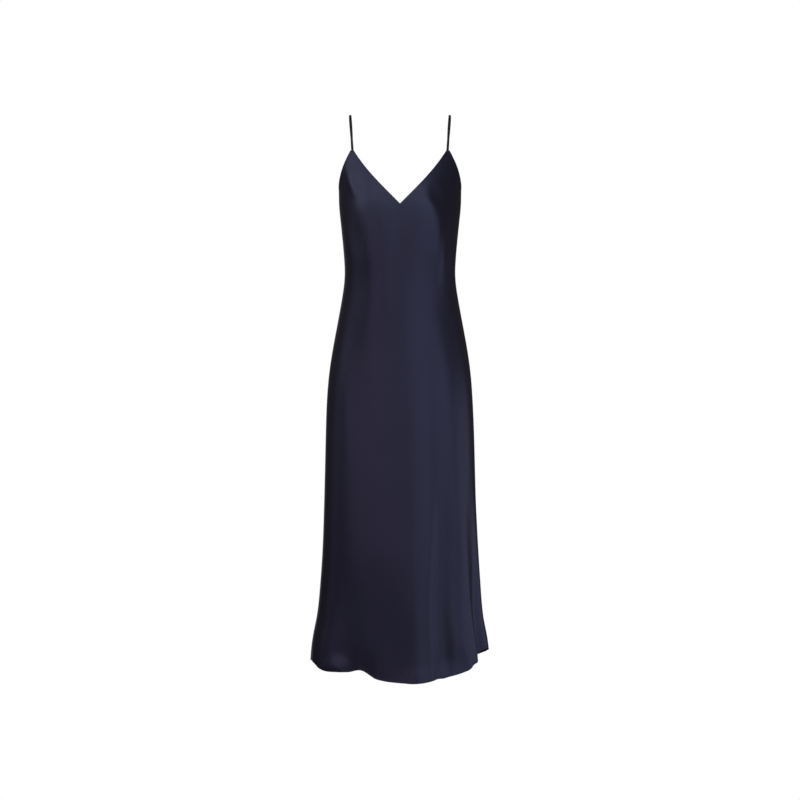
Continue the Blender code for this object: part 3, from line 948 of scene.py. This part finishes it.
PLAIN, COOL, BLUISH, ROSY = (1, 1, 1), (0.80, 0.97, 1.0), (0.85, 0.85, 1.0), (1.0, 0.78, 0.94)
SOFTBOXES = (
    # name, azimuth, elevation, distance, width, height, radiance, colour
    # azimuth 0 is at the camera's side and +90 at +X, in degrees; lengths in metres
    ("front_left", -30, 0, 2.6, 2.7, 1.4, 0.35, ROSY),
    ("front_right", 30, 0, 2.6, 2.7, 1.4, 0.5, BLUISH),
    ("upper_left", -32, 30, 2.6, 2.4, 1.4, 0.4, PLAIN),
    ("upper_right", 20, 30, 2.6, 2.0, 1.4, 0.6, COOL),
    ("left", -90, 0, 2.6, 1.4, 1.4, 0.15, BLUISH),
    ("side_left", -75, 35, 2.6, 1.3, 2.0, 0.75, PLAIN),
    ("top", -5, 60, 2.6, 2.6, 1.4, 0.65, PLAIN),
    ("low_right", 30, -30, 2.5, 2.0, 0.9, 0.3, PLAIN),
    ("side_right", 87, -17, 1.3, 1.3, 1.1, 0.5, BLUISH),
    ("back", 185, 0, 2.6, 2.0, 1.4, 0.3, BLUISH),
    ("back_upper", 185, 30, 2.6, 2.4, 1.4, 0.5, COOL),
    ("back_top", 180, 60, 2.6, 1.8, 1.4, 0.45, PLAIN),
    ("low_back", 185, -30, 2.5, 2.0, 1.3, 0.4, BLUISH),
)


def aim(thing, target):
    """Turns a camera or light to look at the target."""
    direction = Vector(target) - thing.location
    thing.rotation_euler = direction.to_track_quat("-Z", "Y").to_euler()


def make_camera():
    """The camera in front of the dress, a little above its middle."""
    data = bpy.data.cameras.new("camera")
    data.lens = CAMERA_LENS
    made = add_object("camera", data)
    made.location = CAMERA_PLACE
    aim(made, CAMERA_AIM)
    bpy.context.scene.camera = made


def softbox(name, azimuth, elevation, distance, width, height, radiance, colour):
    """A rectangular soft light that looks at the middle of the dress."""
    data = bpy.data.lights.new(name, "AREA")
    data.shape = "RECTANGLE"
    data.size = width
    data.size_y = height
    data.energy = radiance * np.pi * width * height
    data.color = colour
    made = add_object(name, data)
    a, e = azimuth * DEGREE, elevation * DEGREE
    away = np.array([np.sin(a) * np.cos(e), -np.cos(a) * np.cos(e), np.sin(e)])
    made.location = np.array(CAMERA_AIM) + distance * away
    aim(made, CAMERA_AIM)
    made.visible_camera = False


def shown_to_camera(tree, lit, seen):
    """A shader that is seen for the camera and lit for everything else."""
    path = tree.nodes.new("ShaderNodeLightPath")
    mix = tree.nodes.new("ShaderNodeMixShader")
    for place, source in enumerate((path.outputs["Is Camera Ray"], lit, seen)):
        tree.links.new(source, mix.inputs[place])
    return mix.outputs[0]


def make_floor():
    """A plain pale floor under the hanging dress, that shows white to the camera."""
    mesh = bpy.data.meshes.new("floor")
    signs = ((-1, -1), (1, -1), (1, 1), (-1, 1))
    corners = [(x * FLOOR_HALF, y * FLOOR_HALF, -FLOOR_DROP) for x, y in signs]
    mesh.from_pydata(corners, [], [(0, 1, 2, 3)])
    material, tree, shader = new_material("pale_floor", FLOOR_ROUGHNESS, 0.0)
    shader.inputs["Base Color"].default_value = (FLOOR_SHADE, FLOOR_SHADE, FLOOR_SHADE, 1)
    glow = add_node(tree, "ShaderNodeEmission", Color=(1, 1, 1, 1), Strength=1.0)
    mixed = shown_to_camera(tree, shader.outputs[0], glow.outputs[0])
    tree.links.new(mixed, tree.nodes["Material Output"].inputs["Surface"])
    mesh.materials.append(material)
    made = add_object("floor", mesh)


def make_world():
    """A weak light from all round, seen as white by the camera."""
    world = bpy.data.worlds.new("studio")
    bpy.context.scene.world = world
    world.use_nodes = True
    tree = world.node_tree
    tree.nodes.clear()
    lit = add_node(tree, "ShaderNodeBackground", Color=(*AMBIENT, 1), Strength=1.0)
    seen = add_node(tree, "ShaderNodeBackground", Color=(1, 1, 1, 1), Strength=1.0)
    output = tree.nodes.new("ShaderNodeOutputWorld")
    mixed = shown_to_camera(tree, lit.outputs[0], seen.outputs[0])
    tree.links.new(mixed, output.inputs["Surface"])


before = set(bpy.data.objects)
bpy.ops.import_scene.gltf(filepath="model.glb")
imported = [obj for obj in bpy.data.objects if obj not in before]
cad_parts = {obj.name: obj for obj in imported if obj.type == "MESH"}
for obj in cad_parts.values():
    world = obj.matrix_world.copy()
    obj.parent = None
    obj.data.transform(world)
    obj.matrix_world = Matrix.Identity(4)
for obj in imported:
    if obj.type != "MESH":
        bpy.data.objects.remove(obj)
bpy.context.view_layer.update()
groups = {
    "weave": satin_weave_group(),
    "uneven": cloth_unevenness_group(),
    "pucker": edge_puckers_group(),
}
face, inside, strap_finish = (satin(name, groups, *finish) for name, finish in FINISHES.items())
sewing = thread("navy_thread")

front, front_points, front_normals = panel(
    "front_cloth", front_columns(), -SEAM_GAP / 2, [face, inside]
)
back, back_points, back_normals = panel("back_cloth", back_columns(), SEAM_GAP / 2, [face, inside])
left = strap("strap_left_tube", 1, [strap_finish])
right = strap("strap_right_tube", -1, [strap_finish])
sewn_rows = (HEM_RUNS.index(STITCH_FROM_HEM), -1 - TOP_RUNS.index(STITCH_FROM_TOP))
front_sewing = stitches(
    "front_stitches", rows_of(front_points, front_normals, sewn_rows), STITCH_PITCH, [sewing]
)
back_sewing = stitches(
    "back_stitches", rows_of(back_points, back_normals, sewn_rows), STITCH_PITCH, [sewing]
)
peak_turn = float(turn_at(PEAK_REACH, PEAK_DROP))
front_tacks = stitches("front_tacks", tack_lines(peak_turn, PEAK_DROP), TACK_PITCH, [sewing])
back_tacks = stitches(
    "back_tacks", tack_lines(BACK_PEAK_TURN, BACK_PEAK_DROP), TACK_PITCH, [sewing]
)
allowances = [
    seam_allowance("seam_allowance_left", 1, [inside]),
    seam_allowance("seam_allowance_right", -1, [inside]),
]
for piece, node, slot in (
    (front, "front", "dress_satin"),
    (front_sewing, "front", "dress_satin"),
    (front_tacks, "front", "dress_satin"),
    (back, "back", "dress_satin"),
    (back_sewing, "back", "dress_satin"),
    (back_tacks, "back", "dress_satin"),
    (allowances[0], "back", "dress_satin"),
    (allowances[1], "back", "dress_satin"),
    (left, "strap_left", "strap_satin"),
    (right, "strap_right", "strap_satin"),
):
    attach(piece, "root")
    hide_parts(node)

make_camera()
make_world()
for box in SOFTBOXES:
    softbox(*box)
make_floor()
bpy.context.scene.view_settings.view_transform = "Standard"
